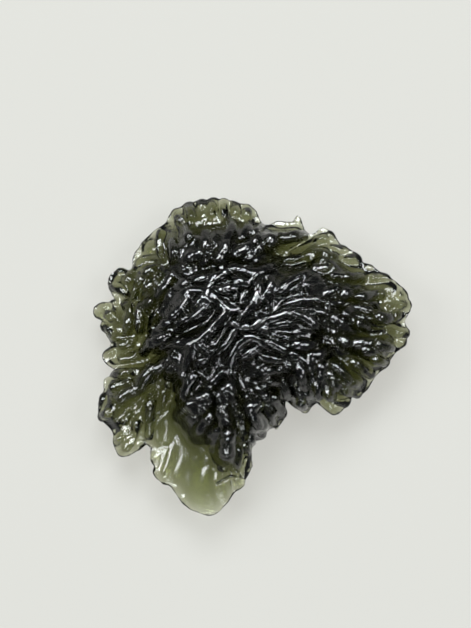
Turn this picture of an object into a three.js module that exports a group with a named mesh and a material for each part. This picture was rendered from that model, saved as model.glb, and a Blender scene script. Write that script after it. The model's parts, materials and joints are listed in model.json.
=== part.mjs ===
// Moldavite: one natural lump of green glass, thick and dark in the middle, running out into thin lobes,
// teeth and a smooth tongue, its face carved by narrow round-topped ridges that spread from the middle.
//
// Millimetres, +Z up. The stone lies on its back on a small flat spot, with the carved face upwards.
// Origin at the bottom centre of the box around it: +X to its broad right lobe, +Y away from its tongue.
import * as THREE from 'three';
import { ImprovedNoise } from 'three/addons/math/ImprovedNoise.js';

const { clamp, lerp, smoothstep } = THREE.MathUtils;

// The rim: the height of its mid line, how that rises per millimetre along X and Y, and its blunt edge.
const RIM_HEIGHT = 3.3;
const RIM_RISE_X = 0.05;
const RIM_RISE_Y = -0.05;
const RIM_THICKNESS = 0.25;

// The thin leaf of glass inside the rim: how far it thickens up and down, and over what distance.
const LEAF_TOP = 0.85;
const LEAF_UNDER = 0.7;
const LEAF_REACH = 2.0;

// The dark mass on the leaf: its height at the heart and what it loses per millimetre to the right.
// A steep lip at its edge climbs most of that height, and a broad shoulder the rest.
const MASS_HEIGHT = 3.3;
const MASS_FALL_X = 0.17;
const LIP_SHARE = 0.7;
const LIP_WIDTH = 0.6;
const SHOULDER_WIDTH = 3.2;

// The narrow ridges of the face, from their first point to their last.
const RIDGE_HALF_WIDTH = [0.58, 0.5];
const RIDGE_HEIGHT = [0.7, 0.5];

// Small ribs that run outwards from the heart: height, ribs in a turn, length, and where they start
// and are full. The tongue is smoother than the rest.
const FACE_RIBS = { height: 0.8, turn: 9, length: 3.5, start: 3, full: 7 };
const BACK_RIBS = { height: 0.9, turn: 5, length: 3, start: 2, full: 6 };
const SMOOTH_TONGUE = { points: [[-6.0, -5.4], [-3.4, -11.4]], width: [2.8, 2.8], height: [0.8, 0.8] };

// Low uneven lumps of the back: height and size.
const LUMP_HEIGHT = 0.5;
const LUMP_SIZE = 2.6;

// Relief grows to full height over this distance from the rim.
const RELIEF_REACH = 0.8;

// The point that the ribs spread from, and how far apart the corners of the skin's triangles are.
const HEART = [-2.2, 2.2];
const FACE_SPACING = 0.38;
const BACK_SPACING = 0.6;
const SPACING_SHAKE = 0.12;
const POINTS_PER_OUTLINE_POINT = 2;

// Outline seen from above, counter-clockwise from the top of the upper lobe.
const OUTLINE = {
  topLobe: [
    [-2.5, 12.7], [-3.8, 12.6], [-4.8, 12.4], [-5.7, 12.1], [-6.7, 11.3], [-6.9, 10.8],
  ],
  upperLeftFlank: [
    [-7.8, 10.2], [-8.6, 9.4], [-9.1, 8.8], [-9.6, 7.8], [-9.6, 7.0],
  ],
  leftTeeth: [
    [-10.2, 7.0], [-10.7, 7.0], [-11.4, 6.6], [-11.5, 5.8], [-11.4, 5.3], [-11.0, 4.6], [-11.9, 4.3],
    [-12.7, 3.9], [-12.5, 3.3], [-12.0, 2.9], [-12.1, 2.5], [-11.8, 1.9], [-11.3, 1.2], [-11.5, 0.6],
    [-12.0, 0.1], [-11.7, -0.6], [-11.0, -1.0],
  ],
  lowerLeftLobe: [
    [-11.4, -1.5], [-11.9, -1.8], [-11.9, -2.7], [-12.2, -3.5], [-12.3, -4.2], [-12.2, -5.0], [-11.7, -5.4],
    [-11.2, -6.0], [-11.0, -6.7], [-11.0, -7.4], [-10.2, -8.0], [-9.4, -7.6], [-8.4, -7.0],
  ],
  tongue: [
    [-8.1, -7.4], [-8.1, -8.1], [-7.8, -8.7], [-7.8, -9.4], [-7.2, -10.1], [-6.7, -10.2], [-6.2, -10.7],
    [-5.8, -11.4], [-5.1, -12.1], [-4.4, -12.4], [-3.5, -12.7], [-2.8, -12.5], [-2.2, -11.9],
    [-1.7, -11.3], [-1.2, -10.6], [-0.6, -10.2], [-0.5, -9.6], [-0.2, -9.1], [0.0, -8.7], [-0.1, -8.0],
    [0.0, -7.4],
  ],
  lowerFingers: [
    [0.3, -6.7], [0.9, -6.4], [1.0, -5.9], [1.6, -5.6], [2.0, -5.7], [2.3, -5.3], [2.7, -4.6],
    [2.7, -3.5], [3.2, -3.9], [3.8, -4.2], [4.3, -4.4], [4.8, -4.0], [5.2, -3.7],
  ],
  lowerRight: [
    [5.7, -4.1], [6.2, -4.4], [6.6, -4.6], [7.3, -4.2], [7.8, -3.6], [8.0, -3.2], [8.5, -3.2],
    [9.3, -2.5], [9.9, -1.5], [10.7, -0.8], [11.3, 0.2], [11.8, 0.6], [12.4, 1.4], [12.5, 2.0],
    [12.2, 2.8],
  ],
  rightLobe: [
    [12.5, 3.4], [12.7, 4.1], [12.4, 5.0], [12.0, 5.6], [11.3, 6.2], [10.3, 6.8], [9.6, 7.3],
    [8.9, 7.5], [8.5, 8.2], [7.8, 8.6], [7.1, 9.0], [6.7, 9.6], [6.1, 10.2], [5.6, 10.4], [5.1, 10.0],
    [4.7, 9.8],
  ],
  topTeeth: [
    [4.2, 10.1], [4.0, 10.9], [3.6, 11.3], [3.3, 10.8], [2.6, 10.8], [2.0, 10.9], [1.4, 10.6],
    [0.8, 10.6],
  ],
  topLobeEnd: [
    [0.6, 11.1], [0.3, 11.7], [-0.2, 12.1], [-1.0, 12.3], [-1.8, 12.5],
  ],
};

// Edge of the thick dark mass, which stands on the thin leaf as a ledge, counter-clockwise from the top.
const DARK_MASS = [
  [0.8, 10.3], [-0.3, 10.6], [-1.6, 10.8], [-3.0, 10.5], [-4.2, 10.3], [-5.2, 10.0], [-5.9, 9.5],
  [-6.5, 8.7], [-6.3, 7.3], [-5.8, 6.3], [-6.4, 5.2], [-6.9, 4.1], [-7.7, 2.3], [-8.3, 1.5],
  [-8.8, 0.6], [-7.5, 0.3], [-6.9, -0.2], [-6.6, -1.2], [-6.2, -2.3], [-5.9, -3.4], [-6.2, -4.7],
  [-5.4, -5.7], [-4.6, -6.7], [-3.2, -7.0], [-3.2, -8.1], [-2.6, -8.6], [-1.8, -8.8], [-1.0, -8.6],
  [-0.2, -7.6], [0.8, -6.3], [1.4, -5.6], [2.4, -4.9], [2.6, -3.7], [3.7, -4.2], [5.2, -3.8],
  [6.4, -3.3], [7.5, -2.7], [8.5, -2.8], [9.6, -1.5], [10.9, -0.1], [11.4, 1.4], [11.0, 3.0],
  [10.6, 4.1], [9.6, 4.9], [8.8, 6.1], [7.6, 7.1], [6.7, 7.9], [5.6, 8.4], [4.3, 7.6], [3.0, 7.2],
  [1.9, 7.4], [1.6, 8.1], [2.6, 8.7], [3.8, 9.2], [4.2, 9.7], [3.8, 10.0], [2.6, 10.2], [1.6, 10.2],
];

// The crown of the dark mass, and the lower swells on the leaf around it.
const CROWN = { points: [[-4.0, 3.2], [-1.0, 3.4], [2.6, 4.0]], width: [4.4, 4.0], height: [1.0, 0.8] };
const LEAF_SWELLS = [
  { points: [[-5.0, 4.8], [-7.0, 5.4], [-9.1, 5.6]], width: [2.4, 1.9], height: [2.2, 1.0] },
  { points: [[-6.2, 4.2], [-8.6, 3.6], [-10.6, 3.1]], width: [1.7, 1.3], height: [1.6, 0.8] },
  { points: [[-6.4, -0.2], [-8.4, -1.6], [-10.4, -3.3]], width: [1.0, 0.9], height: [1.6, 0.9] },
  { points: [[-10.6, -3.0], [-11.3, -4.6], [-10.3, -7.2]], width: [1.1, 1.0], height: [0.9, 0.7] },
  { points: [[-5.6, 8.4], [-7.4, 9.0]], width: [2.2, 1.4], height: [1.2, 0.5] },
  { points: [[-5.2, 10.4], [-3.4, 11.4], [-1.0, 11.2]], width: [1.3, 1.2], height: [0.7, 0.6] },
];

// Deep grooves across the dark mass: between its lower fingers, and along its right lobe.
const FACE_GROOVES = [
  { points: [[-3.6, -3.8], [-4.6, -4.6], [-5.5, -5.8]], width: [0.6, 0.8], height: [0.5, 1.2] },
  { points: [[-3.0, -3.6], [-3.1, -5.4], [-3.5, -8.4]], width: [0.6, 0.8], height: [0.6, 1.6] },
  { points: [[-1.1, -2.8], [-1.0, -5.4], [-0.5, -8.6]], width: [0.6, 0.9], height: [0.6, 1.6] },
  { points: [[0.3, -2.0], [0.8, -3.8], [1.4, -5.4]], width: [0.5, 0.8], height: [0.5, 1.4] },
  { points: [[1.9, -0.9], [2.6, -3.5]], width: [0.6, 1.0], height: [0.5, 1.8] },
  { points: [[3.7, -2.0], [5.2, -3.7]], width: [0.5, 0.8], height: [0.5, 1.4] },
  { points: [[5.4, 1.3], [7.4, 0.0], [9.5, -1.4]], width: [0.8, 1.1], height: [0.8, 1.6] },
  { points: [[4.8, 7.0], [8.6, 5.7], [12.0, 4.8]], width: [0.6, 0.9], height: [0.6, 0.9] },
  { points: [[5.6, 4.6], [7.8, 4.2], [11.2, 4.1]], width: [0.6, 0.8], height: [0.6, 0.9] },
  { points: [[5.3, 2.0], [7.8, 1.8], [12.2, 2.6]], width: [0.6, 0.8], height: [0.6, 0.9] },
  { points: [[-4.5, 2.5], [-5.8, 1.8], [-7.4, 0.6]], width: [0.5, 0.6], height: [0.4, 0.8] },
  { points: [[-4.6, 7.1], [-2.9, 7.1], [-1.6, 7.6]], width: [0.6, 0.6], height: [0.7, 0.5] },
];

// The swells of the back, measured downwards. The deepest is cut off flat where the stone rests.
const BACK_SWELLS = [
  { points: [[-2.4, 2.0], [1.6, 1.4]], width: [5.2, 5.0], height: [2.75, 2.8] },
  { points: [[-1.4, 2.2], [-1.8, -3.6]], width: [4.4, 2.6], height: [2.7, 1.4] },
  { points: [[-0.2, 3.4], [7.0, 3.4]], width: [4.6, 3.0], height: [2.7, 1.1] },
  { points: [[-2.0, 3.6], [-3.0, 8.6]], width: [4.6, 2.6], height: [2.7, 0.9] },
];

// Crest lines of the ridges on the face.
const HEART_RIDGES = [
  [[-1.9, 10.9], [-1.6, 10.2], [-2.0, 9.4], [-2.1, 8.8], [-2.4, 8.2]],
  [[-2.6, 7.8], [-2.1, 7.5], [-1.5, 7.2]],
  [[-1.5, 7.0], [-2.2, 6.6], [-3.0, 6.2], [-3.4, 5.5], [-3.5, 5.0], [-3.4, 4.2]],
  [[-3.3, 4.9], [-2.6, 4.4], [-2.1, 3.9], [-1.1, 3.8]],
  [[-2.7, 5.2], [-1.8, 5.4], [-1.2, 5.8]],
  [[-1.1, 6.0], [-0.2, 5.9], [0.2, 6.6]],
  [[0.5, 5.6], [0.3, 4.9], [-0.1, 4.0], [-1.0, 3.1]],
  [[1.5, 5.8], [1.2, 5.2], [0.6, 4.6]],
  [[-1.5, 7.0], [0.3, 6.7], [1.2, 7.0], [2.9, 7.6], [4.0, 7.9], [5.0, 8.6]],
  [[2.3, 5.4], [3.0, 6.0], [4.3, 6.5]],
  [[-1.9, 3.7], [-2.6, 2.9], [-3.4, 2.0], [-4.6, 1.2], [-6.0, 1.2], [-7.0, 0.9]],
  [[-3.8, 3.9], [-4.3, 3.4], [-5.4, 3.0]],
  [[-1.5, 2.7], [-0.6, 2.4], [0.1, 2.5], [0.7, 2.9], [1.8, 3.1], [3.0, 3.5], [4.0, 3.2], [5.0, 2.6]],
  [[2.9, 2.8], [1.8, 2.6], [0.7, 2.2]],
  [[-1.4, 2.1], [-1.8, 1.3], [-2.4, 0.6]],
  [[-4.0, 1.0], [-3.5, 0.6], [-3.6, 0.0], [-4.3, -0.4]],
  [[-5.4, 5.0], [-4.6, 5.3], [-3.8, 5.2]],
  [[-3.9, 4.6], [-4.5, 4.0]],
  [[-4.5, 6.1], [-3.4, 6.3]],
];
const UPPER_RIDGES = [
  [[-0.3, 10.2], [-0.8, 9.4]],
  [[0.4, 9.4], [-0.2, 8.8], [-1.5, 8.0]],
  [[0.5, 8.6], [0.0, 8.2], [-0.6, 7.6]],
  [[0.8, 10.3], [0.2, 9.8]],
  [[1.3, 8.9], [1.6, 9.3], [2.8, 9.5], [4.1, 9.7]],
  [[-3.7, 9.7], [-3.7, 8.8]],
  [[-6.3, 9.1], [-6.1, 8.3], [-6.2, 7.3], [-5.3, 5.9]],
  [[-4.2, 8.2], [-5.2, 7.8]],
  [[-5.2, 10.2], [-5.0, 9.5]],
];
const LEFT_RIDGES = [
  [[-5.2, 5.8], [-6.0, 5.4], [-6.6, 4.6], [-7.0, 3.5]],
  [[-5.0, 4.6], [-5.6, 3.9], [-6.7, 2.8], [-7.4, 2.1], [-8.0, 1.3], [-8.6, 0.4]],
  [[-6.6, 1.7], [-7.3, 1.4], [-8.0, 1.1]],
  [[-6.6, -0.2], [-7.3, -0.8], [-8.0, -1.0], [-8.6, -1.8], [-8.9, -2.4], [-9.9, -2.9], [-10.4, -3.3]],
  [[-8.1, 4.4], [-8.8, 3.9], [-9.0, 2.9], [-8.9, 2.2]],
  [[-10.1, 4.2], [-9.7, 3.9], [-9.8, 2.8], [-9.9, 2.2]],
  [[-8.3, 6.8], [-7.6, 7.0], [-6.7, 6.7]],
  [[-6.4, 6.4], [-6.7, 5.8], [-7.4, 4.8]],
  [[-9.4, 7.0], [-9.8, 6.2]],
  [[-11.2, 1.6], [-9.5, 1.6]],
  [[-10.4, 1.0], [-9.7, 1.1]],
  [[-11.0, -1.4], [-9.2, -1.2]],
  [[-11.0, -2.4], [-9.8, -2.1]],
];
const LOWER_RIDGES = [
  [
    [0.8, 1.1], [0.3, 1.5], [-0.3, 1.6], [-0.8, 1.3], [-1.2, 0.8], [-1.6, -0.1], [-1.8, -1.0],
    [-1.8, -2.1], [-1.4, -3.8],
  ],
  [[0.5, 0.8], [-0.2, 0.4], [-0.8, 0.1]],
  [[1.2, 1.2], [2.4, 0.6]],
  [[0.7, 0.1], [2.1, -0.1]],
  [[1.0, -1.0], [2.2, -0.8]],
  [[-2.4, -1.2], [-3.4, -2.3]],
  [[-3.0, -2.9], [-3.9, -3.1], [-4.6, -3.4], [-5.4, -4.2], [-6.0, -4.8]],
  [[-1.9, -2.2], [-2.6, -3.0], [-2.6, -3.6], [-2.2, -4.6], [-1.9, -5.9], [-2.0, -7.4]],
  [[-3.1, -4.5], [-4.2, -5.8], [-4.5, -6.5]],
  [[-0.3, -3.8], [0.2, -4.9], [0.5, -5.4]],
  [[0.4, -2.5], [1.0, -3.1]],
  [[-4.8, 1.0], [-4.6, 0.6], [-5.0, -0.1], [-5.4, -1.4]],
  [[-6.9, -0.3], [-6.5, -0.9], [-6.6, -2.1]],
  [[-4.6, -1.5], [-5.1, -2.2], [-5.4, -3.1]],
  [[3.6, -0.6], [4.0, -1.9], [4.2, -2.8]],
  [[4.6, 0.2], [4.5, -0.7]],
  [[3.1, 0.3], [4.0, -0.2]],
  [[-8.1, -3.8], [-8.1, -5.3], [-8.2, -6.3]],
];
const RIGHT_RIDGES = [
  [[3.4, 1.0], [4.5, 1.0], [5.0, 1.4]],
  [[6.3, 3.1], [7.0, 2.7], [7.6, 2.1]],
  [[7.0, 1.4], [8.0, 1.1], [9.3, 1.2]],
  [[10.0, 3.3], [10.7, 3.1], [11.5, 3.4]],
  [[7.3, 3.4], [8.1, 3.9], [9.3, 3.7]],
  [[8.2, 4.6], [9.3, 4.9], [10.2, 5.0]],
  [[6.1, 4.2], [6.9, 4.4], [7.4, 5.2]],
  [[6.4, 6.4], [8.6, 6.3]],
  [[4.2, 5.6], [5.0, 6.2]],
  [[4.5, 8.0], [5.2, 8.2], [6.5, 7.9]],
  [[4.6, 0.2], [5.3, 0.3], [5.9, 0.7]],
  [[8.9, 0.6], [9.5, 0.6]],
  [[9.9, 1.0], [11.0, 0.8]],
  [[5.4, -0.7], [5.4, -1.6]],
  [[7.3, -2.6], [8.4, -3.0]],
  [[8.2, -0.5], [9.5, -1.4]],
];

// Lines are drawn as smooth curves through their points, in steps of about one triangle.
function drawnLine(points, spacing) {
  const curve = new THREE.CatmullRomCurve3(points.map(([x, y]) => new THREE.Vector3(x, y, 0)));
  const steps = Math.max(1, Math.round(curve.getLength() / spacing));
  return curve.getSpacedPoints(steps).map(({ x, y }) => [x, y]);
}

const FACE_RIDGES = [
  ...HEART_RIDGES, ...UPPER_RIDGES, ...LEFT_RIDGES, ...LOWER_RIDGES, ...RIGHT_RIDGES,
].map((points) => ({
  points: drawnLine(points, FACE_SPACING),
  width: RIDGE_HALF_WIDTH,
  height: RIDGE_HEIGHT,
}));

// How far a place lies from a line, and how far along the line its nearest point is, from 0 to 1.
function nearestOnLine(points, x, y) {
  let nearest = { distance: Infinity, along: 0 };
  for (let i = 0; i + 1 < points.length; i += 1) {
    const [ax, ay] = points[i];
    const [bx, by] = points[i + 1];
    const dx = bx - ax;
    const dy = by - ay;
    const t = clamp(((x - ax) * dx + (y - ay) * dy) / (dx * dx + dy * dy), 0, 1);
    const distance = Math.hypot(x - ax - t * dx, y - ay - t * dy);
    if (distance < nearest.distance) {
      nearest = { distance, along: (i + t) / (points.length - 1) };
    }
  }
  return nearest;
}

// How far a place lies inside a closed loop, or 0 outside it. Each crossing of a line to the right counts.
function depthInside(loop, x, y) {
  let inside = false;
  loop.forEach(([ax, ay], i) => {
    const [bx, by] = loop[(i + 1) % loop.length];
    if (ay > y !== by > y && x < ax + ((y - ay) / (by - ay)) * (bx - ax)) {
      inside = !inside;
    }
  });
  return inside ? nearestOnLine([...loop, loop[0]], x, y).distance : 0;
}

// A swell, ridge or groove is a loaf along its line: a round top with steep sides.
function loafHeight({ points, width, height }, x, y) {
  const { distance, along } = nearestOnLine(points, x, y);
  const reach = lerp(width[0], width[1], along);
  return lerp(height[0], height[1], along) * Math.max(0, 1 - (distance / reach) ** 2);
}

// Where loaves meet, the taller one shows, so a sharp valley is left between them.
function tallest(loaves, x, y) {
  return Math.max(...loaves.map((loaf) => loafHeight(loaf, x, y)));
}

// Ribs running outwards: folded noise that is stretched away from the heart.
const noise = new ImprovedNoise();
function ribHeight({ height, turn, length, start, full }, x, y) {
  const angle = Math.atan2(y - HEART[1], x - HEART[0]);
  const out = Math.hypot(x - HEART[0], y - HEART[1]);
  const fold = Math.abs(noise.noise(turn * Math.cos(angle), turn * Math.sin(angle), out / length));
  return height * fold * smoothstep(out, start, full);
}

// A climb from 0 at the edge of the mass to 1 at the given width inside it, steep first and then level.
function climbShare(depth, width) {
  return 1 - (1 - clamp(depth / width, 0, 1)) ** 2;
}

function massHeight(x, y) {
  const depth = depthInside(DARK_MASS, x, y);
  const lip = LIP_SHARE * climbShare(depth, LIP_WIDTH);
  const shoulder = (1 - LIP_SHARE) * climbShare(depth, SHOULDER_WIDTH);
  const full = MASS_HEIGHT - MASS_FALL_X * Math.max(0, x);
  return full * (lip + shoulder) + loafHeight(CROWN, x, y);
}

function rimMiddle(x, y) {
  return RIM_HEIGHT + RIM_RISE_X * x + RIM_RISE_Y * y;
}

function leafShare(fromRim) {
  return 1 - Math.exp(-fromRim / LEAF_REACH);
}

function faceHeight(x, y, fromRim) {
  const body = Math.max(massHeight(x, y), tallest(LEAF_SWELLS, x, y)) - tallest(FACE_GROOVES, x, y);
  const ribs = ribHeight(FACE_RIBS, x, y) * (1 - loafHeight(SMOOTH_TONGUE, x, y));
  const relief = Math.max(0, body) + tallest(FACE_RIDGES, x, y) + ribs;
  const leaf = RIM_THICKNESS / 2 + LEAF_TOP * leafShare(fromRim);
  return rimMiddle(x, y) + leaf + relief * smoothstep(fromRim, 0, RELIEF_REACH);
}

// The back stops at the floor, which leaves the flat spot that the stone rests on.
function backHeight(x, y, fromRim) {
  const lumps = LUMP_HEIGHT * noise.noise(x / LUMP_SIZE, y / LUMP_SIZE, 0);
  const relief = tallest(BACK_SWELLS, x, y) + ribHeight(BACK_RIBS, x, y) + lumps;
  const leaf = RIM_THICKNESS / 2 + LEAF_UNDER * leafShare(fromRim);
  return Math.max(0, rimMiddle(x, y) - leaf - relief * smoothstep(fromRim, 0, RELIEF_REACH));
}

// The rim, seen from above.
const outlinePoints = Object.values(OUTLINE).flat().map(([x, y]) => new THREE.Vector3(x, y, 0));
const outline = new THREE.CatmullRomCurve3(outlinePoints, true);
const rimCount = POINTS_PER_OUTLINE_POINT * outlinePoints.length;
const rim = outline.getPoints(rimCount).slice(0, rimCount).map(({ x, y }) => [x, y]);

// Corners of the skin: the rim, then the drawn lines, then an even scatter between them.
function scatter(spacing, drawnLines) {
  const places = [...rim];
  const gap = spacing / 2;
  const add = (x, y) => {
    const isClear = places.every(([px, py]) => Math.hypot(px - x, py - y) > gap);
    if (isClear && depthInside(rim, x, y) > gap) {
      places.push([x, y]);
    }
  };
  drawnLines.forEach((points) => points.forEach(([x, y]) => add(x, y)));
  const rowHeight = (spacing * Math.sqrt(3)) / 2;
  const reach = Math.ceil(Math.max(...rim.flat().map(Math.abs)) / rowHeight);
  for (let row = -reach; row <= reach; row += 1) {
    for (let column = -reach; column <= reach; column += 1) {
      const shake = SPACING_SHAKE * noise.noise(row * Math.E, column * Math.PI, spacing);
      const x = (column + (row % 2) / 2) * spacing + shake;
      const y = row * rowHeight - shake;
      if (drawnLines.every((points) => nearestOnLine(points, x, y).distance > gap)) {
        add(x, y);
      }
    }
  }
  return places;
}

// Joins places in the plane into triangles, none of which has another place inside its circle.
function triangulate(places) {
  const far = 1000 * Math.max(...places.flat());
  const corners = [...places, [-far, -far], [far, -far], [0, far]];
  const circled = (a, b, c) => {
    const [ax, ay] = corners[a];
    const bx = corners[b][0] - ax;
    const by = corners[b][1] - ay;
    const cx = corners[c][0] - ax;
    const cy = corners[c][1] - ay;
    const twiceArea = 2 * (bx * cy - by * cx);
    const ux = (cy * (bx * bx + by * by) - by * (cx * cx + cy * cy)) / twiceArea;
    const uy = (bx * (cx * cx + cy * cy) - cx * (bx * bx + by * by)) / twiceArea;
    return { corners: [a, b, c], x: ax + ux, y: ay + uy, squaredRadius: ux * ux + uy * uy };
  };
  let triangles = [circled(places.length, places.length + 1, places.length + 2)];
  places.forEach(([x, y], place) => {
    const openEdges = new Map();
    triangles = triangles.filter((triangle) => {
      const isClear = (x - triangle.x) ** 2 + (y - triangle.y) ** 2 >= triangle.squaredRadius;
      if (!isClear) {
        triangle.corners.forEach((a, i) => {
          const b = triangle.corners[(i + 1) % 3];
          if (!openEdges.delete(`${b} ${a}`)) {
            openEdges.set(`${a} ${b}`, [a, b]);
          }
        });
      }
      return isClear;
    });
    openEdges.forEach(([a, b]) => triangles.push(circled(a, b, place)));
  });
  return triangles.map((triangle) => triangle.corners).filter((t) => Math.max(...t) < places.length);
}

// One side of the skin: only the triangles within the rim, at the heights of that side.
const positions = [];
const faces = [];
function addSide(places, heightAt, facesUp) {
  const first = positions.length / 3;
  places.forEach(([x, y], i) => {
    const fromRim = i < rimCount ? 0 : depthInside(rim, x, y);
    positions.push(x, y, heightAt(x, y, fromRim));
  });
  triangulate(places).forEach(([a, b, c]) => {
    const middleX = (places[a][0] + places[b][0] + places[c][0]) / 3;
    const middleY = (places[a][1] + places[b][1] + places[c][1]) / 3;
    if (depthInside(rim, middleX, middleY) > 0) {
      faces.push(first + a, ...(facesUp ? [first + b, first + c] : [first + c, first + b]));
    }
  });
  return first;
}

const lipEdge = drawnLine([...DARK_MASS, DARK_MASS[0]], FACE_SPACING);
const crestLines = FACE_RIDGES.map(({ points }) => points);
const faceStart = addSide(scatter(FACE_SPACING, [...crestLines, lipEdge]), faceHeight, true);
const backStart = addSide(scatter(BACK_SPACING, []), backHeight, false);

// The blunt edge between the two sides.
for (let i = 0; i < rimCount; i += 1) {
  const next = (i + 1) % rimCount;
  faces.push(backStart + i, backStart + next, faceStart + i);
  faces.push(faceStart + i, backStart + next, faceStart + next);
}

const skin = new THREE.BufferGeometry();
skin.setAttribute('position', new THREE.Float32BufferAttribute(positions, 3));
skin.setIndex(faces);
skin.computeVertexNormals();

// The origin is the bottom centre of the box around the stone.
skin.computeBoundingBox();
const middle = skin.boundingBox.getCenter(new THREE.Vector3());
skin.translate(-middle.x, -middle.y, -skin.boundingBox.min.z);

const greenGlass = new THREE.MeshStandardMaterial({ color: 0x3b4126, roughness: 0.15, metalness: 0 });
const moldavite = new THREE.Mesh(skin, greenGlass);
moldavite.name = 'moldavite';

const group = new THREE.Group();
group.add(moldavite);

export default group;
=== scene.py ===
# %% [markdown]
# # A moldavite on a glowing table
#
# Moldavite is natural green glass, melted by a meteorite and then etched in the ground for millions of
# years. The acid in the soil ate narrow valleys into it, and what was left between them are round-topped
# ridges that spread from the thick middle to thin, see-through lobes. In this lesson the plain CAD stone
# gets those ridges as real geometry, then a clear green glass, and then a soft studio light.

# %% Load the frame
import json
import math

import bpy
import numpy as np
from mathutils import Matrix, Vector, noise
from mathutils.bvhtree import BVHTree
from mathutils.kdtree import KDTree

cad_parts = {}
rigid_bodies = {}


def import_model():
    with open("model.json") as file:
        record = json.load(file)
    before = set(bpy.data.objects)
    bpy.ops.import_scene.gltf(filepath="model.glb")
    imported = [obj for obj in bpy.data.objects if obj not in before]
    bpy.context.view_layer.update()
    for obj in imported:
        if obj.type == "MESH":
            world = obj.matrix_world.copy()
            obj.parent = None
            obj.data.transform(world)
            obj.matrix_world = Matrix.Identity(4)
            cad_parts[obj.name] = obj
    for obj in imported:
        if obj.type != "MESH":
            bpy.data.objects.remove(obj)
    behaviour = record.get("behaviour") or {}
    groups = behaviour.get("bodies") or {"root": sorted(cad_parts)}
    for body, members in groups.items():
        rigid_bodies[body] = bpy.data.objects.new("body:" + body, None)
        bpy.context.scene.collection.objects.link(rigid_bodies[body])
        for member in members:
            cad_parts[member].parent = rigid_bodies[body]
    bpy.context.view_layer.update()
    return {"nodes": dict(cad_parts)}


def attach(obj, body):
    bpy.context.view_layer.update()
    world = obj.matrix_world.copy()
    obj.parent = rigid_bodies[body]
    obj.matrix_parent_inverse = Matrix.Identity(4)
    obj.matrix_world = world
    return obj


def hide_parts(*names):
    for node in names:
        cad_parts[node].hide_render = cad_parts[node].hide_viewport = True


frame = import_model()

MM = 0.001
cad_stone = frame["nodes"]["moldavite"]

# %% [markdown]
# ## The camera
#
# The photograph looks straight down on the stone. A long lens, far away, keeps the high middle and the low
# rim at one scale, as in a product picture. The distance follows from the size of a pixel at the height
# of the rim, and the camera is moved sideways because the stone isn't in the middle of the picture.

# %% Camera
PICTURE_HEIGHT_PX = 628
PICTURE_MIDDLE_PX = Vector((235.5, 314))
STONE_MIDDLE_PX = Vector((252, 357))
PIXEL = 0.08 * MM
RIM_HEIGHT = 3.5 * MM
LENS_MM = 200
SENSOR_MM = 36
CLIP_START = 10 * MM

camera_data = bpy.data.cameras.new("camera")
camera_data.lens = LENS_MM
camera_data.sensor_width = SENSOR_MM
camera_data.clip_start = CLIP_START
camera = bpy.data.objects.new("camera", camera_data)
bpy.context.collection.objects.link(camera)
off_middle = (PICTURE_MIDDLE_PX - STONE_MIDDLE_PX) * PIXEL
distance = PICTURE_HEIGHT_PX * PIXEL * LENS_MM / SENSOR_MM
camera.location = (off_middle.x, -off_middle.y, RIM_HEIGHT + distance)
bpy.context.scene.camera = camera
print("camera", round(camera.location.z / MM), "mm above the table")

# %% [markdown]
# ## A finer copy of the stone
#
# The CAD stone has flat triangles about a third of a millimetre wide. A copy of it is merged, so that its
# triangles share corners, then the triangles of the carved face are cut into twenty-five and those of the
# plainer back into nine. A Smooth modifier then takes the facets away. It leaves the thin rim alone, which
# would shrink.

# %% Copy, cut and smooth
FACE_CUTS = 4
BACK_CUTS = 2
SMOOTH_PASSES = 24
SMOOTH_FACTOR = 0.5
RIM_SMOOTHING = 0.1
UPRIGHT = 0.001
MERGE_WITHIN = 0.001 * MM


def only(piece):
    """Selects one object and makes it the active one."""
    bpy.ops.object.select_all(action="DESELECT")
    piece.select_set(True)
    bpy.context.view_layer.objects.active = piece


def select_faces(is_wanted):
    """Selects the stone's triangles that a test of their upward tilt picks, in edit mode."""
    bpy.ops.mesh.select_all(action="DESELECT")
    bpy.ops.object.mode_set(mode="OBJECT")
    for face in stone.data.polygons:
        face.select = is_wanted(face.normal.z)
    bpy.ops.object.mode_set(mode="EDIT")


stone = bpy.data.objects.new("moldavite_stone", cad_stone.data.copy())
bpy.context.collection.objects.link(stone)
only(stone)
bpy.ops.object.mode_set(mode="EDIT")
bpy.ops.mesh.select_mode(type="FACE")
bpy.ops.mesh.select_all(action="SELECT")
bpy.ops.mesh.remove_doubles(threshold=MERGE_WITHIN)
select_faces(lambda tilt: tilt > UPRIGHT)
bpy.ops.mesh.subdivide(number_cuts=FACE_CUTS)
select_faces(lambda tilt: tilt < -UPRIGHT)
bpy.ops.mesh.subdivide(number_cuts=BACK_CUTS)
bpy.ops.mesh.select_all(action="SELECT")
bpy.ops.mesh.quads_convert_to_tris()
bpy.ops.object.mode_set(mode="OBJECT")

upright = [face for face in stone.data.polygons if abs(face.normal.z) <= UPRIGHT]
rim_corners = sorted({index for face in upright for index in face.vertices})
within_rim = stone.vertex_groups.new(name="within_rim")
within_rim.add(range(len(stone.data.vertices)), 1, "REPLACE")
within_rim.add(rim_corners, RIM_SMOOTHING, "REPLACE")
smooth = stone.modifiers.new("smooth", "SMOOTH")
smooth.factor = SMOOTH_FACTOR
smooth.iterations = SMOOTH_PASSES
smooth.vertex_group = within_rim.name
bpy.ops.object.modifier_apply(modifier=smooth.name)
print("stone", len(stone.data.vertices), "corners,", len(stone.data.polygons), "triangles")
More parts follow.
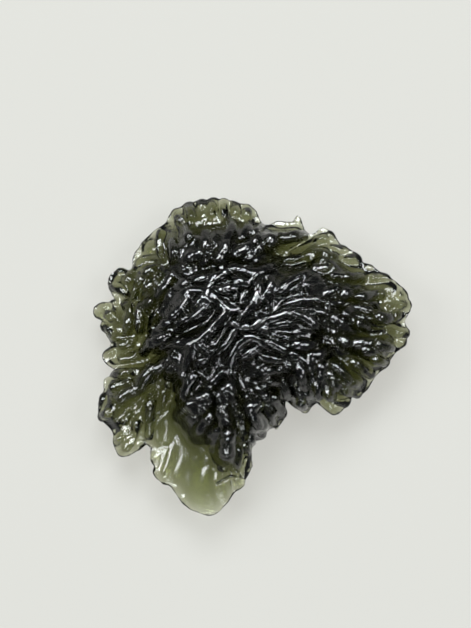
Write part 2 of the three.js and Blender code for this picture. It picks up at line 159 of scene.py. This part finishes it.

# %% [markdown]
# ## The crest lines
#
# Each ridge starts as a line along its crest. The large ones are drawn one by one, in millimetres from the
# middle of the stone, as a maker would sketch them on paper before carving.

# %% Drawn crest lines
HEART_LINES = [
    [(-1.9, 10.9), (-1.6, 10.2), (-2.0, 9.4), (-2.1, 8.8), (-2.4, 8.2)],
    [(-2.6, 7.8), (-2.1, 7.5), (-1.5, 7.2)],
    [(-1.5, 7.0), (-2.2, 6.6), (-3.0, 6.2), (-3.4, 5.5), (-3.5, 5.0), (-3.4, 4.2)],
    [(-3.3, 4.9), (-2.6, 4.4), (-2.1, 3.9), (-1.1, 3.8)],
    [(-2.7, 5.2), (-1.8, 5.4), (-1.2, 5.8), (-1.5, 6.2)],
    [(-1.1, 6.0), (-0.2, 5.9), (0.2, 6.6)],
    [(0.5, 5.6), (0.3, 4.9), (-0.1, 4.0), (-1.0, 3.1)],
    [(1.5, 5.8), (1.2, 5.2), (0.6, 4.6)],
    [(-1.5, 7.0), (0.3, 6.7), (1.2, 7.0), (2.9, 7.6), (4.0, 7.9), (5.0, 8.6)],
    [(2.3, 5.4), (3.0, 6.0), (4.3, 6.5)],
    [(-1.9, 3.7), (-2.6, 2.9), (-3.4, 2.0), (-4.6, 1.2), (-6.0, 1.2), (-7.0, 0.9)],
    [(-3.8, 3.9), (-4.3, 3.4), (-5.4, 3.0)],
    [(-1.5, 2.7), (-0.6, 2.4), (0.1, 2.5), (0.7, 2.9), (1.8, 3.1), (3.0, 3.5), (4.0, 3.2), (5.0, 2.6)],
    [(2.9, 2.8), (1.8, 2.6), (0.7, 2.2)],
    [(-1.4, 2.1), (-1.8, 1.3), (-2.2, 0.9)],
    [(-4.0, 1.0), (-3.5, 0.6), (-3.6, 0.0), (-4.3, -0.4)],
    [(-3.5, 0.5), (-2.7, 0.5)],
    [(-5.4, 5.0), (-4.6, 5.3), (-3.8, 5.2)],
    [(-3.9, 4.6), (-4.5, 4.0)],
    [(-4.5, 6.1), (-3.4, 6.3)],
    [(-1.2, 5.5), (-1.4, 4.6)],
    [(1.1, 4.7), (1.2, 3.8)],
    [(2.3, 5.4), (1.4, 5.1)],
]
UPPER_LINES = [
    [(-0.3, 10.2), (-0.8, 9.4)],
    [(0.4, 9.4), (-0.2, 8.8), (-1.5, 8.0)],
    [(0.5, 8.6), (0.0, 8.2), (-0.6, 7.6)],
    [(0.8, 10.3), (0.2, 9.8)],
    [(1.3, 8.9), (1.6, 9.3), (2.8, 9.5), (4.1, 9.7)],
    [(1.4, 9.4), (1.3, 8.8)],
    [(-3.7, 9.7), (-3.7, 8.8)],
    [(-2.7, 9.5), (-3.0, 9.0)],
    [(-2.4, 7.2), (-3.0, 6.6)],
    [(-6.3, 9.1), (-6.1, 8.3), (-6.2, 7.3), (-5.3, 5.9)],
    [(-4.2, 8.2), (-5.2, 7.8)],
    [(-3.5, 7.8), (-3.9, 7.4)],
    [(-5.2, 10.2), (-5.0, 9.5)],
    [(2.7, 8.3), (1.8, 7.7)],
]
LEFT_LINES = [
    [(-5.2, 5.8), (-6.0, 5.4), (-6.6, 4.6), (-7.0, 3.5)],
    [(-5.0, 4.6), (-5.6, 3.9), (-6.7, 2.8), (-7.4, 2.1), (-8.0, 1.3), (-8.6, 0.4)],
    [(-6.6, 1.7), (-7.3, 1.4), (-8.0, 1.1)],
    [(-6.6, -0.2), (-7.3, -0.8), (-8.0, -1.0), (-8.6, -1.8), (-8.9, -2.4), (-9.9, -2.9), (-10.4, -3.3)],
    [(-8.1, 4.4), (-8.8, 3.9), (-9.0, 2.9), (-8.9, 2.2)],
    [(-10.1, 4.2), (-9.7, 3.9), (-9.8, 2.8), (-9.9, 2.2)],
    [(-8.3, 6.8), (-7.6, 7.0), (-6.7, 6.7)],
    [(-6.4, 6.4), (-6.7, 5.8), (-7.4, 4.8)],
    [(-9.4, 7.0), (-9.8, 6.2)],
    [(-11.2, 1.6), (-9.5, 1.6)],
    [(-10.4, 1.0), (-9.7, 1.1)],
    [(-11.0, -1.4), (-9.2, -1.2)],
    [(-11.0, -2.4), (-9.8, -2.1)],
    [(-5.7, 2.8), (-5.8, 2.4), (-6.0, 2.1)],
    [(-5.4, 5.0), (-4.9, 4.6)],
]
LOWER_LINES = [
    [
        (0.8, 1.1), (0.3, 1.5), (-0.3, 1.6), (-0.8, 1.3), (-1.2, 0.8), (-1.6, -0.1), (-1.8, -1.0),
        (-1.8, -2.1), (-1.5, -3.2), (-1.3, -3.7), (-1.6, -4.3),
    ],
    [(0.5, 0.8), (-0.2, 0.4), (-0.8, 0.1)],
    [(-1.4, -0.3), (-0.6, -0.8)],
    [(1.2, 1.2), (2.4, 0.6)],
    [(0.7, 0.1), (2.1, -0.1)],
    [(1.0, -1.0), (2.2, -0.8)],
    [(0.8, -1.2), (0.6, -1.8)],
    [(-2.4, -1.2), (-2.9, -1.8), (-3.4, -2.4)],
    [(-3.4, -1.2), (-3.6, -1.6)],
    [(-3.0, -2.9), (-3.9, -3.1), (-4.6, -3.4), (-5.4, -4.2), (-6.0, -4.8)],
    [(-1.9, -2.2), (-2.6, -3.0), (-2.6, -3.6), (-2.2, -4.6), (-1.9, -5.9), (-2.0, -7.4)],
    [(-3.3, -3.8), (-4.0, -4.0), (-4.6, -4.2)],
    [(-3.1, -4.5), (-4.2, -5.8), (-4.5, -6.5)],
    [(-0.3, -3.8), (0.2, -4.9), (0.5, -5.4)],
    [(0.4, -2.5), (1.0, -3.1)],
    [(0.2, -3.1), (0.3, -3.7)],
    [(-4.8, 1.0), (-4.6, 0.6), (-5.0, -0.1), (-5.4, -1.4)],
    [(-6.9, -0.3), (-6.5, -0.9), (-6.6, -2.1)],
    [(-6.2, 0.2), (-5.8, -0.3)],
    [(-4.6, -1.5), (-5.1, -2.2), (-5.4, -3.1)],
    [(3.6, -0.6), (4.0, -1.9), (4.2, -2.8)],
    [(4.6, 0.2), (4.5, -0.7)],
    [(3.1, 0.3), (4.0, -0.2)],
    [(-8.1, -3.8), (-8.1, -5.3), (-8.2, -6.3)],
]
RIGHT_LINES = [
    [(3.4, 1.0), (4.5, 1.0), (5.0, 1.4)],
    [(6.3, 3.1), (7.0, 2.7), (7.6, 2.1)],
    [(7.0, 1.4), (8.0, 1.1), (9.3, 1.2)],
    [(10.0, 3.3), (10.7, 3.1), (11.5, 3.4)],
    [(7.3, 3.4), (8.1, 3.9), (9.3, 3.7)],
    [(8.2, 4.6), (9.3, 4.9), (10.2, 5.0)],
    [(6.1, 4.2), (6.9, 4.4), (7.4, 5.2)],
    [(6.4, 6.4), (8.6, 6.3)],
    [(4.2, 5.6), (5.0, 6.2)],
    [(4.5, 8.0), (5.2, 8.2), (6.5, 7.9)],
    [(4.6, 0.2), (5.3, 0.3), (5.9, 0.7)],
    [(8.9, 0.6), (9.5, 0.6)],
    [(9.9, 1.0), (11.0, 0.8)],
    [(5.4, -0.7), (5.4, -1.6)],
    [(7.3, -2.6), (8.4, -3.0)],
    [(5.4, 1.3), (6.7, 0.6), (7.5, 0.0), (8.2, -0.5), (8.8, -1.0), (9.5, -1.4)],
    [(4.4, 2.9), (5.2, 2.4)],
]
DRAWN_LINES = HEART_LINES + UPPER_LINES + LEFT_LINES + LOWER_LINES + RIGHT_LINES
LINE_HEIGHT = 20 * MM
CURVE_STEPS = 5


def draw(name, lines, kind):
    """Draws lines of (x, y) points in the air above the stone and turns them into edges."""
    curve = bpy.data.curves.new(name, "CURVE")
    curve.dimensions = "3D"
    curve.resolution_u = CURVE_STEPS
    for line in lines:
        spline = curve.splines.new(kind)
        points = spline.bezier_points if kind == "BEZIER" else spline.points
        points.add(len(line) - 1)
        for point, (x, y) in zip(points, line):
            if kind == "BEZIER":
                point.co = (x * MM, y * MM, LINE_HEIGHT)
                point.handle_left_type = point.handle_right_type = "AUTO"
            else:
                point.co = (x * MM, y * MM, LINE_HEIGHT, 1)
    drawing = bpy.data.objects.new(name, curve)
    bpy.context.collection.objects.link(drawing)
    only(drawing)
    bpy.ops.object.convert(target="MESH")
    return bpy.context.object


drawn = draw("drawn_lines", DRAWN_LINES, "BEZIER")
print(len(DRAWN_LINES), "drawn lines,", len(drawn.data.vertices), "points")

# %% [markdown]
# ## The ridges in between
#
# The etched face has no bare place: every gap between two large ridges holds a smaller one. Those aren't
# drawn one by one. A line starts at a random free place and runs both ways, along with the drawn lines
# close by, or outwards where there are none, until it would come too close to another line. A place is
# a complex number here, because then the square of a direction is the same both ways along a line.

# %% Grown crest lines
HEART = complex(-2.2, 2.2)
SPACING = 0.85
CLOSEST = 0.62
STEP = 0.15
LONGEST = 3.2
SHORTEST = 0.5
FLOW_REACH = 1.3
OUTWARD_PULL = 0.25
WANDER = 0.7
WANDER_SIZE = 1.6
TRIES = 4000
HALF_BOX = 13.0

ends = [(complex(*a), complex(*b)) for line in DRAWN_LINES for a, b in zip(line, line[1:])]
middles = np.array([(a + b) / 2 for a, b in ends])
doubled = np.array([(b - a) ** 2 / abs(b - a) for a, b in ends])


def flow(place):
    """One unit along the ridges at a place, either way."""
    outward = place - HEART
    pull = OUTWARD_PULL * (outward / abs(outward)) ** 2
    pull += np.sum(doubled * np.exp(-np.abs(middles - place) ** 2 / FLOW_REACH ** 2))
    along = np.sqrt(pull / abs(pull))
    wander = WANDER * noise.noise(Vector((place.real, place.imag, 0)) / WANDER_SIZE)
    return along * np.exp(1j * wander)


def run(start, heading, taken, longest):
    """The places that a line passes from its start until it is long enough or has no room."""
    places = []
    place = start
    while len(places) * STEP < longest:
        along = flow(place)
        heading = along if (along * heading.conjugate()).real > 0 else -along
        place = place + heading * STEP
        if np.min(np.abs(taken - place)) < CLOSEST:
            break
        places.append(place)
    return places


def grow(taken, seed):
    """Lines that fill the room which the taken places leave."""
    chance = np.random.default_rng(seed)
    lines = []
    for _ in range(TRIES):
        start = complex(*chance.uniform(-HALF_BOX, HALF_BOX, 2))
        longest = chance.uniform(SHORTEST, LONGEST) / 2
        if np.min(np.abs(taken - start)) > SPACING:
            way = flow(start)
            back = run(start, -way, taken, longest)
            line = back[::-1] + [start] + run(start, way, taken, longest)
            lines.append([(place.real, place.imag) for place in line])
            taken = np.append(taken, line)
    return [line for line in lines if len(line) > 1]


FACE_SEED = 7
drawn_places = np.array([complex(point.co.x, point.co.y) / MM for point in drawn.data.vertices])
grown = draw("grown_lines", grow(drawn_places, FACE_SEED), "POLY")
print("grown lines:", len(grown.data.vertices), "points")

# %% [markdown]
# ## Thin lobes
#
# Light comes through the real stone only where it is thin: along the whole rim, and further in on the
# upper lobe and on one at the left. A glass material can't be told to look thin, the mesh has to be thin.
# So both skins move towards the height of the nearest rim corner, most at the rim or in the middle of
# a lobe and less and less further in. A KD tree finds the nearest rim corner quickly.

# %% Pinch the rim and the lobes
PINCH = 0.72
PINCH_REACH = 2.2 * MM
THIN_LOBES = [(Vector((-2.4, 12.0)) * MM, 3.2 * MM), (Vector((-10.6, 4.4)) * MM, 2.4 * MM)]
THINNING = 0.6


def ramp(value, start, end):
    """From 0 at the start to 1 at the end, and level beyond."""
    return min(1, max(0, (value - start) / (end - start)))


rim_tree = KDTree(len(rim_corners))
for index in rim_corners:
    rim_tree.insert(stone.data.vertices[index].co, index)
rim_tree.balance()
for corner in stone.data.vertices:
    edge, _, from_rim = rim_tree.find(corner.co)
    kept = 1 - PINCH * (1 - ramp(from_rim, 0, PINCH_REACH)) ** 2
    for lobe, reach in THIN_LOBES:
        kept *= 1 - THINNING * (1 - ramp((corner.co.xy - lobe).length, 0, reach))
    corner.co.z = edge.z + kept * (corner.co.z - edge.z)
print("pinched along", len(rim_corners), "rim corners and on", len(THIN_LOBES), "lobes")

# %% [markdown]
# ## Where the stone is carved, and how deep
#
# The carving fades towards the thin rim, is nearly gone on the smooth tongue and leaves the flat spot alone
# that the stone rests on. Each corner of the mesh keeps that share as a weight in a vertex group, one for
# the face and one for the back, as a sculptor would paint a mask. The tongue has a mask of its own, and
# a Smooth modifier licks it even. Its share also goes into an attribute, which the glass reads later.

# %% Carving masks
RIM_FADE = 0.9 * MM
RIM_SHARE = 0.4
TONGUE = (Vector((-5.9, -6.0)) * MM, Vector((-3.6, -12.0)) * MM)
TONGUE_HALF_WIDTH = 3.0 * MM
TONGUE_SMOOTHNESS = 0.985
TONGUE_PASSES = 300
FLOOR_FADE = (0.1 * MM, 0.9 * MM)
UNEVEN_SIZE = 1.5 * MM
UNEVEN = 0.35


def tongue_share(place):
    """1 along the middle of the tongue, falling to 0 at its sides and beyond."""
    spine = TONGUE[1] - TONGUE[0]
    along = ramp((place.xy - TONGUE[0]).dot(spine), 0, spine.length_squared)
    return 1 - ramp((place.xy - TONGUE[0] - along * spine).length, 0, TONGUE_HALF_WIDTH) ** 2


def carved_share(place):
    """How strongly a place of either side is carved, from about 0 to 1."""
    from_rim = ramp(rim_tree.find(place)[2], 0, RIM_FADE)
    from_floor = ramp(place.z, *FLOOR_FADE)
    uneven = 1 + UNEVEN * noise.noise(place / UNEVEN_SIZE)
    smoothed = 1 - TONGUE_SMOOTHNESS * tongue_share(place)
    return uneven * smoothed * from_floor * (RIM_SHARE + (1 - RIM_SHARE) * from_rim)


def paint(mask, shares):
    """Keeps a share for each corner of the stone as a vertex group."""
    group = stone.vertex_groups.new(name=mask)
    for index, share in enumerate(shares):
        group.add([index], share, "REPLACE")


def keep_attribute(name, shares):
    """Keeps a share for each corner of the stone as an attribute that a material can read."""
    attribute = stone.data.attributes.new(name, "FLOAT", "POINT")
    attribute.data.foreach_set("value", shares)


is_face = [corner.normal.z > 0 for corner in stone.data.vertices]
carved_shares = [carved_share(corner.co) for corner in stone.data.vertices]
paint("face_mask", [share * up for share, up in zip(carved_shares, is_face)])
paint("back_mask", [share * (not up) for share, up in zip(carved_shares, is_face)])
tongue_shares = [
    tongue_share(corner.co) * ramp(rim_tree.find(corner.co)[2], 0, RIM_FADE) for corner in stone.data.vertices
]
paint("tongue_mask", tongue_shares)
keep_attribute("worn", tongue_shares)
only(stone)
lick = stone.modifiers.new("lick", "SMOOTH")
lick.factor = SMOOTH_FACTOR
lick.iterations = TONGUE_PASSES
lick.vertex_group = "tongue_mask"
bpy.ops.object.modifier_apply(modifier=lick.name)
print("masks painted on", len(stone.data.vertices), "corners")

# %% [markdown]
# ## Raising the ridges
#
# The lines are dropped onto the stone with a Shrinkwrap modifier. A Vertex Weight Proximity modifier then
# gives each corner of the stone a weight by its distance to the nearest line, round at the crest and with
# a sharp valley half way to the next one, and a Displace modifier raises the skin by that weight.

# %% Tools that drop lines and raise the skin
CREST_HALF_WIDTH = 0.04 * MM
SOFTEN_PASSES = 2
LOAF = [(0.25, 0.4375), (0.5, 0.75), (0.75, 0.9375)]


def drop_on_stone(lines, is_from_above):
    """Moves lines straight down or up onto the skin of the stone."""
    only(lines)
    drop = lines.modifiers.new("drop", "SHRINKWRAP")
    drop.target = stone
    drop.wrap_method = "PROJECT"
    drop.use_project_z = True
    drop.use_positive_direction = not is_from_above
    drop.use_negative_direction = is_from_above
    bpy.ops.object.modifier_apply(modifier=drop.name)


def raise_ridges(lines, mask, half_width, height):
    """Raises a round ridge along each line, where the mask allows it, and takes the lines away."""
    ridges = lines.name + "_ridges"
    stone.vertex_groups.new(name=ridges).add(range(len(stone.data.vertices)), 0, "REPLACE")
    only(stone)
    near = stone.modifiers.new("near", "VERTEX_WEIGHT_PROXIMITY")
    near.vertex_group = ridges
    near.target = lines
    near.proximity_mode = "GEOMETRY"
    near.proximity_geometry = {"EDGE"}
    near.min_dist = half_width
    near.max_dist = CREST_HALF_WIDTH
    near.falloff_type = "CURVE"
    for x, y in LOAF:
        near.map_curve.curves[0].points.new(x, y)
    near.map_curve.update()
    near.mask_vertex_group = mask
    rise = stone.modifiers.new("rise", "DISPLACE")
    rise.vertex_group = ridges
    rise.mid_level = 0
    rise.strength = height
    soften = stone.modifiers.new("soften", "SMOOTH")
    soften.factor = SMOOTH_FACTOR
    soften.iterations = SOFTEN_PASSES
    soften.vertex_group = ridges
    for step in (near, rise, soften):
        bpy.ops.object.modifier_apply(modifier=step.name)
    bpy.data.objects.remove(lines)


# %% [markdown]
# ## Fingers
#
# At its lower end the thick middle runs out into four broad fingers. Each is one wide ridge, raised before
# the fine ones, so that those climb over it.

# %% Four broad fingers
FINGER_LINES = [
    [(-2.6, -3.3), (-3.9, -3.4), (-5.2, -4.1), (-6.0, -4.8)],
    [(-2.4, -4.2), (-3.3, -4.6), (-4.0, -5.6), (-4.5, -6.6)],
    [(-2.0, -2.4), (-2.3, -4.4), (-1.9, -5.9), (-2.0, -7.6)],
    [(-0.3, -3.8), (0.4, -4.8), (1.0, -5.7)],
]
FINGER_HALF_WIDTH = 0.74 * MM
FINGER_RISE = 0.6 * MM

fingers = draw("fingers", FINGER_LINES, "BEZIER")
drop_on_stone(fingers, True)
raise_ridges(fingers, "face_mask", FINGER_HALF_WIDTH, FINGER_RISE)
print(len(FINGER_LINES), "fingers raised by", FINGER_RISE / MM, "mm")

# %% [markdown]
# ## Fine ridges of the face
#
# The drawn and the grown lines are joined into one object, because the valley between two ridges belongs
# to both: the nearest line of either kind decides.

# %% Ridges of the face
RIDGE_HALF_WIDTH = 0.44 * MM
RIDGE_RISE = 0.5 * MM

only(drawn)
grown.select_set(True)
bpy.ops.object.join()
drop_on_stone(drawn, True)
raise_ridges(drawn, "face_mask", RIDGE_HALF_WIDTH, RIDGE_RISE)
print("ridges raised by", RIDGE_RISE / MM, "mm")

# %% [markdown]
# ## A crack
#
# A short crack, seen as a dark line, crosses the tongue near its side. A crack is a ridge turned inwards, so
# the same tool makes it with a height below zero. The weight that shaped it is kept as an attribute, which
# darkens the glass there: painted shade in the crack.

# %% A crack in the tongue
CRACK_LINE = [(-2.8, -10.1), (-2.2, -9.8), (-1.9, -9.6), (-1.3, -9.5)]
CRACK_HALF_WIDTH = 0.16 * MM
CRACK_DEPTH = 0.25 * MM

crack = draw("crack", [CRACK_LINE], "BEZIER")
drop_on_stone(crack, True)
raise_ridges(crack, "within_rim", CRACK_HALF_WIDTH, -CRACK_DEPTH)
crack_group = stone.vertex_groups["crack_ridges"]
# painted shade: the crack's weight darkens the glass along the crack
keep_attribute("crack_shade", [crack_group.weight(index) for index in range(len(stone.data.vertices))])
print("crack cut", CRACK_DEPTH / MM, "mm deep")

# %% [markdown]
# ## The back
#
# The back of such a stone is etched as well. The photograph doesn't show it, so its ridges are a guess: all
# of them are grown, wider and lower than those of the face, and they are dropped on it from below.

# %% Back ridges
BACK_SEED = 11
BACK_HALF_WIDTH = 0.6 * MM
BACK_RISE = 0.35 * MM

back_lines = draw("back_lines", grow(np.array([HEART]), BACK_SEED), "POLY")
for point in back_lines.data.vertices:
    point.co.z = -LINE_HEIGHT
drop_on_stone(back_lines, False)
raise_ridges(back_lines, "back_mask", BACK_HALF_WIDTH, BACK_RISE)
print("back ridges raised by", BACK_RISE / MM, "mm")

# %% [markdown]
# ## Grain
#
# Between the ridges the etched skin is never quite even. A Displace modifier with a cloud texture moves it
# in and out by a few hundredths of a millimetre, which breaks the highlights into short strokes.

# %% Grain
GRAIN_SIZE = 0.3 * MM
GRAIN_HEIGHT = 0.07 * MM
GRAIN_DEPTH = 2
GRAIN_MIDDLE = 0.5

clouds = bpy.data.textures.new("grain", "CLOUDS")
clouds.noise_scale = GRAIN_SIZE
clouds.noise_depth = GRAIN_DEPTH
for mask in ("face_mask", "back_mask"):
    grain = stone.modifiers.new("grain", "DISPLACE")
    grain.texture = clouds
    grain.vertex_group = mask
    grain.mid_level = GRAIN_MIDDLE
    grain.strength = GRAIN_HEIGHT
    bpy.ops.object.modifier_apply(modifier=grain.name)
print("grain of", GRAIN_HEIGHT / MM, "mm")

# %% [markdown]
# ## Taking out folds
#
# Where two ridges lean into one narrow valley, their skins can cut through each other. Light that crosses
# such a fold would lose its way in the glass, so those triangles are looked up and smoothed until none is
# left.

# %% Smooth what crosses
FOLD_ROUNDS = 12
FOLD_PASSES = 6


def crossing_faces():
    """Numbers of the triangles that cut through others which they share no corner with."""
    skin = BVHTree.FromObject(stone, bpy.context.evaluated_depsgraph_get())
    corners = np.empty(3 * len(stone.data.polygons), dtype=int)
    stone.data.polygons.foreach_get("vertices", corners)
    pairs = np.array(skin.overlap(skin), dtype=int).reshape(-1, 2)
    first, second = corners.reshape(-1, 3)[pairs.T]
    is_shared = (first[:, :, None] == second[:, None, :]).any(axis=(1, 2))
    return np.unique(pairs[~is_shared])


for _ in range(FOLD_ROUNDS):
    crossing = crossing_faces()
    print(len(crossing), "crossing triangles")
    if not len(crossing):
        break
    bpy.ops.object.mode_set(mode="EDIT")
    bpy.ops.mesh.select_all(action="DESELECT")
    bpy.ops.object.mode_set(mode="OBJECT")
    for index in crossing:
        stone.data.polygons[index].select = True
    bpy.ops.object.mode_set(mode="EDIT")
    bpy.ops.mesh.select_more()
    bpy.ops.mesh.vertices_smooth(factor=SMOOTH_FACTOR, repeat=FOLD_PASSES)
    bpy.ops.object.mode_set(mode="OBJECT")
bpy.ops.object.shade_smooth()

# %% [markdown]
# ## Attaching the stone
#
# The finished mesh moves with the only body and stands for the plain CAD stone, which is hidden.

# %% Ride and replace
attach(stone, "root")
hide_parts("moldavite")
print(stone.name, "stands for the CAD stone")

# %% [markdown]
# ## Writing a material as arithmetic
#
# A material is a net of nodes. Wired one by one they are hard to read, so a small class wraps a node's
# output, and a sum or a product of two such values adds the node that works it out.

# %% Shader arithmetic
class Shade:
    """A value in a material's nodes. Arithmetic on it adds the nodes that work it out."""

    def __init__(self, socket):
        self.socket = socket
        self.tree = socket.id_data

    def node(self, kind, settings, output, **values):
        """Adds a node, with its settings first and then its inputs, and returns one of its outputs."""
        made = self.tree.nodes.new(kind)
        for name, setting in settings.items():
            setattr(made, name, setting)
        for name, value in values.items():
            plug = made.inputs[int(name[1:])] if name[1:].isdigit() else made.inputs[name]
            if isinstance(value, Shade):
                self.tree.links.new(value.socket, plug)
            else:
                plug.default_value = value
        return Shade(made.outputs[output])

    def math(self, operation, other):
        """This value and another one, put together by a Math node."""
        return self.node("ShaderNodeMath", {"operation": operation}, "Value", _0=self, _1=other)

    def noise(self, size, detail):
        """Cloudy noise from about 0 to 1, at these coordinates, with clouds of a size in metres."""
        return self.node("ShaderNodeTexNoise", {}, 0, Vector=self, Scale=1 / size, Detail=detail)

    def attribute(self, name):
        """An attribute of the mesh."""
        return self.node("ShaderNodeAttribute", {"attribute_name": name}, "Fac")

    def mix(self, start, end):
        """A colour that goes from one to another as this value goes from 0 to 1."""
        colours = {"_6": start, "_7": end}
        return self.node("ShaderNodeMix", {"data_type": "RGBA"}, COLOUR_OUTPUT, _0=self, **colours)

    def feed(self, plug):
        """Links this value to an input of a shader."""
        self.tree.links.new(self.socket, plug)

    def __add__(self, other):
        return self.math("ADD", other)

    def __mul__(self, other):
        return self.math("MULTIPLY", other)

    __radd__ = __add__
    __rmul__ = __mul__


COLOUR_OUTPUT = 2


def new_material(name):
    """A material with nodes, its shader, and the object coordinates of the piece in metres."""
    material = bpy.data.materials.new(name)
    material.use_nodes = True
    coordinates = material.node_tree.nodes.new("ShaderNodeTexCoord")
    return material, material.node_tree.nodes["Principled BSDF"], Shade(coordinates.outputs["Object"])


# %% [markdown]
# ## Green glass
#
# Moldavite is clear glass with an index of refraction of about 1.5. Its colour sits in the depth: a thin
# lobe is pale olive, the thick middle nearly black. A green surface would look the same everywhere, so the
# colour comes from a Volume Absorption node, which eats a share of red, green and blue on each metre. The
# skin adds little: wrinkles finer than the mesh, cloudy changes of gloss and tint, a duller, deeper tongue
# and painted shade in the crack.

# %% Skin of the glass
WRINKLE_SIZE = 0.13 * MM
WRINKLE_HEIGHT = 0.012 * MM
WRINKLE_DETAIL = 2.0
HAZE_SIZE = 1.2 * MM
HAZE_DETAIL = 3.0
GLOSS_ROUGHNESS = 0.05
HAZE_ROUGHNESS = 0.1
WORN_ROUGHNESS = 0.06
HAZE_DEPTH = 0.6
WORN_DEPTH = 0.8
PALE_TINT = (1, 1, 0.97, 1)
DEEP_TINT = (0.86, 0.9, 0.78, 1)
# painted shade: the dark tint laid into the crack
CRACK_SHADE_TINT = (0.05, 0.05, 0.035, 1)

glass, shader, place = new_material("green_glass")
wrinkles = place.noise(WRINKLE_SIZE, WRINKLE_DETAIL)
haze = place.noise(HAZE_SIZE, HAZE_DETAIL)
bump = place.node("ShaderNodeBump", {}, "Normal", Strength=1.0, Distance=WRINKLE_HEIGHT, Height=wrinkles)
bump.feed(shader.inputs["Normal"])
worn = place.attribute("worn")
roughness = GLOSS_ROUGHNESS + HAZE_ROUGHNESS * haze + WORN_ROUGHNESS * worn
roughness.feed(shader.inputs["Roughness"])
depth = HAZE_DEPTH * haze + WORN_DEPTH * worn
tint = depth.mix(PALE_TINT, DEEP_TINT)
# painted shade: the base colour turns dark along the crack
place.attribute("crack_shade").mix(tint, CRACK_SHADE_TINT).feed(shader.inputs["Base Color"])
print("skin of the glass:", len(glass.node_tree.nodes), "nodes")

# %% Body of the glass
GLASS_IOR = 1.5
ABSORBED_PER_M = (1000, 970, 1450)
ABSORPTION_DENSITY = 1600

shader.inputs["IOR"].default_value = GLASS_IOR
shader.inputs["Transmission Weight"].default_value = 1
tree = glass.node_tree
absorb = tree.nodes.new("ShaderNodeVolumeAbsorption")
absorb.inputs["Color"].default_value = [1 - share / ABSORPTION_DENSITY for share in ABSORBED_PER_M] + [1]
absorb.inputs["Density"].default_value = ABSORPTION_DENSITY
tree.links.new(absorb.outputs["Volume"], tree.nodes["Material Output"].inputs["Volume"])
stone.data.materials.clear()
stone.data.materials.append(glass)
print("one millimetre lets", round(100 * math.exp(-ABSORBED_PER_M[1] * MM)), "% of green light through")

# %% [markdown]
# ## The table
#
# Clear glass shows what is behind it, so the lobes are only as bright as the table under them. A lit white
# table would be dark in the shade of the stone. This one is a sheet of opal glass with a lamp below: nearly
# black by itself, but glowing evenly, so that light comes up through the lobes.

# %% Table
TABLE_SIZE = 2000 * MM
OPAL_COLOUR = (0.08, 0.08, 0.076, 1)
OPAL_ROUGHNESS = 0.9
OPAL_GLOW = (1, 0.99, 0.92, 1)
OPAL_GLOW_STRENGTH = 0.47

bpy.ops.mesh.primitive_plane_add(size=TABLE_SIZE)
table = bpy.context.object
table.name = "table"
opal, opal_shader, _ = new_material("opal_table")
opal_shader.inputs["Base Color"].default_value = OPAL_COLOUR
opal_shader.inputs["Roughness"].default_value = OPAL_ROUGHNESS
opal_shader.inputs["Specular IOR Level"].default_value = 0
opal_shader.inputs["Emission Color"].default_value = OPAL_GLOW
opal_shader.inputs["Emission Strength"].default_value = OPAL_GLOW_STRENGTH
table.data.materials.append(opal)
print("table", TABLE_SIZE, "m wide")

# %% [markdown]
# ## Light
#
# A ridge of dark glass is seen by what it mirrors. Straight above the stone it is dark, so the level skin
# stays black, and soft lights lean in from four sides, so each crest catches one of them as a thin bright
# line. A light's radiance is given, not its power, because a mirrored light is as bright as its radiance.

# %% Lights
ROOM_COLOUR = (0.95, 1, 1, 1)
ROOM_STRENGTH = 0.2
DAYLIGHT = (0.94, 0.98, 1)
DOME_RADIUS = 0.65

world = bpy.data.worlds.new("room")
world.use_nodes = True
room = world.node_tree.nodes["Background"]
room.inputs["Color"].default_value = ROOM_COLOUR
room.inputs["Strength"].default_value = ROOM_STRENGTH
bpy.context.scene.world = world


def softbox(name, turn_deg, lean_deg, size, radiance):
    """A square soft light on a dome over the stone: turned about it, and leaning off the zenith."""
    light = bpy.data.lights.new(name, "AREA")
    light.shape = "SQUARE"
    light.size = size
    light.energy = radiance * math.pi * size ** 2
    light.color = DAYLIGHT
    lamp = bpy.data.objects.new(name, light)
    bpy.context.collection.objects.link(lamp)
    turn = math.radians(turn_deg)
    lean = math.radians(lean_deg)
    way = Vector((math.sin(lean) * math.cos(turn), math.sin(lean) * math.sin(turn), math.cos(lean)))
    lamp.location = way * DOME_RADIUS
    lamp.rotation_euler = (-way).to_track_quat("-Z", "Y").to_euler()


softbox("window", turn_deg=95, lean_deg=34, size=0.36, radiance=27)
softbox("left_panel", turn_deg=170, lean_deg=40, size=0.3, radiance=17)
softbox("right_panel", turn_deg=15, lean_deg=40, size=0.3, radiance=15)
softbox("near_panel", turn_deg=275, lean_deg=45, size=0.26, radiance=6)
bpy.context.scene.view_settings.view_transform = "Standard"
print("four soft lights,", DOME_RADIUS, "m from the stone")
